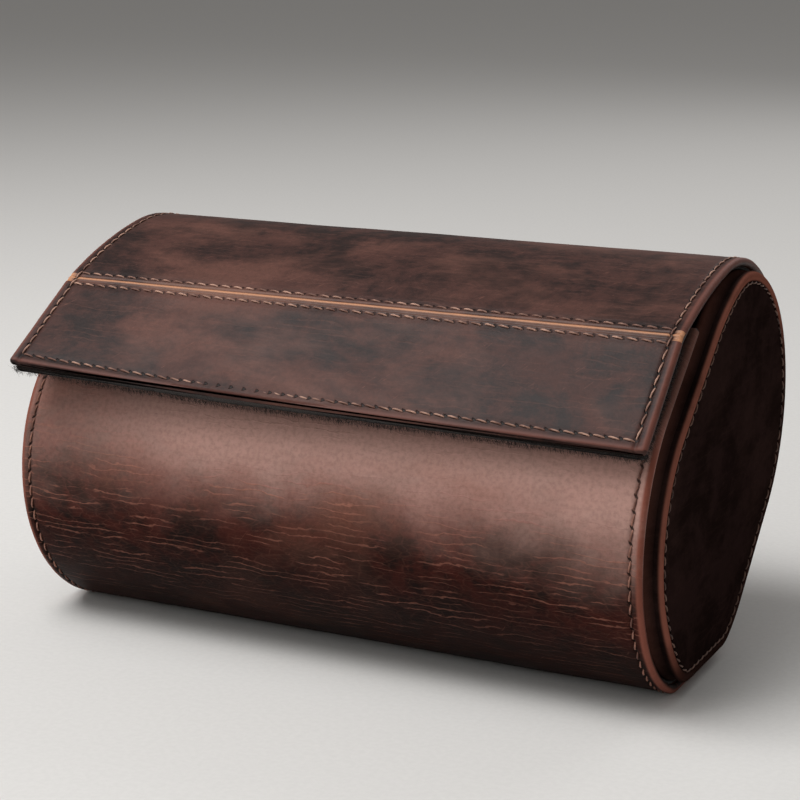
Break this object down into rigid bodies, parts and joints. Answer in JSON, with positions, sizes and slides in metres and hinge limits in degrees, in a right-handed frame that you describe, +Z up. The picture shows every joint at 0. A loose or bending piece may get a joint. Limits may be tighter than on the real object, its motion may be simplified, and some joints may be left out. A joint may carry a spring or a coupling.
{
  "type": "watch travel case",
  "caption": "Leather roll that holds watches on removable cushions between oval end panels, closed by a hinged lid with a magnetic flap.",
  "frame": {"origin": "on the surface it stands on, in the middle of its length, under the centre of the oval's lower front curve", "axes": "+X along the roll, +Y to the back, where the lid is hinged, +Z up"},
  "size_m": [0.1674, 0.0994, 0.0946],
  "materials": {
    "wrap_leather": "waxed pull-up leather, satin",
    "lid_leather": "waxed pull-up leather, darker and duller",
    "panel_leather": "waxed pull-up leather with burnished rims",
    "crease_leather": "stretched leather, lighter at the fold",
    "lining_suede": "short-napped microsuede",
    "felt": "fuzzy felt",
    "board": "grey-brown stiffening board",
    "magnet": "nickel-plated",
    "cushion_suede": "short-napped microsuede",
    "foam": "open-cell foam"
  },
  "bodies": {
    "tray": {"wrap_leather": "wrap_leather", "wrap_board": "board", "wrap_lining": "lining_suede", "back_hinge": "wrap_leather", "front_magnets": "magnet", "left_end_cover": "panel_leather", "left_end_board": "board", "left_end_lining": "lining_suede", "right_end_cover": "panel_leather", "right_end_board": "board", "right_end_lining": "lining_suede", "divider_1_cover": "lining_suede", "divider_1_board": "board", "divider_2_cover": "lining_suede", "divider_2_board": "board"},
    "lid": {"lid_leather": "lid_leather", "lid_board": "board", "lid_lining": "lining_suede"},
    "flap": {"flap_crease": "crease_leather", "flap_leather": "lid_leather", "flap_board": "board", "flap_felt": "felt", "flap_magnets": "magnet"},
    "cushion_1": {"cushion_1_cover": "cushion_suede", "cushion_1_core": "foam"},
    "cushion_2": {"cushion_2_cover": "cushion_suede", "cushion_2_core": "foam"},
    "cushion_3": {"cushion_3_cover": "cushion_suede", "cushion_3_core": "foam"}
  },
  "joints": [
    {"name": "lid_hinge", "type": "hinge", "parent": "tray", "child": "lid", "pos_m": [0, 0.05915, 0.061], "axis": [-1, 0, 0], "range_deg": [0, 120], "deforming": ["back_hinge"]},
    {"name": "flap_fold", "type": "hinge", "parent": "lid", "child": "flap", "pos_m": [0, -0.01728, 0.08387], "axis": [-1, 0, 0], "range_deg": [0, 85], "deforming": ["flap_crease"]},
    {"name": "cushion_1_lift", "type": "slide", "parent": "tray", "child": "cushion_1", "axis": [0, 0.342, 0.9397], "range_m": [0, 0.1]},
    {"name": "cushion_2_lift", "type": "slide", "parent": "tray", "child": "cushion_2", "axis": [0, 0.342, 0.9397], "range_m": [0, 0.1]},
    {"name": "cushion_3_lift", "type": "slide", "parent": "tray", "child": "cushion_3", "axis": [0, 0.342, 0.9397], "range_m": [0, 0.1]}
  ],
  "couplings": [
    {"joint": "cushion_1_lift", "follows": "lid_hinge", "m_per_rad": 0.047746},
    {"joint": "cushion_2_lift", "follows": "lid_hinge", "m_per_rad": 0.047746},
    {"joint": "cushion_3_lift", "follows": "lid_hinge", "m_per_rad": 0.047746}
  ]
}
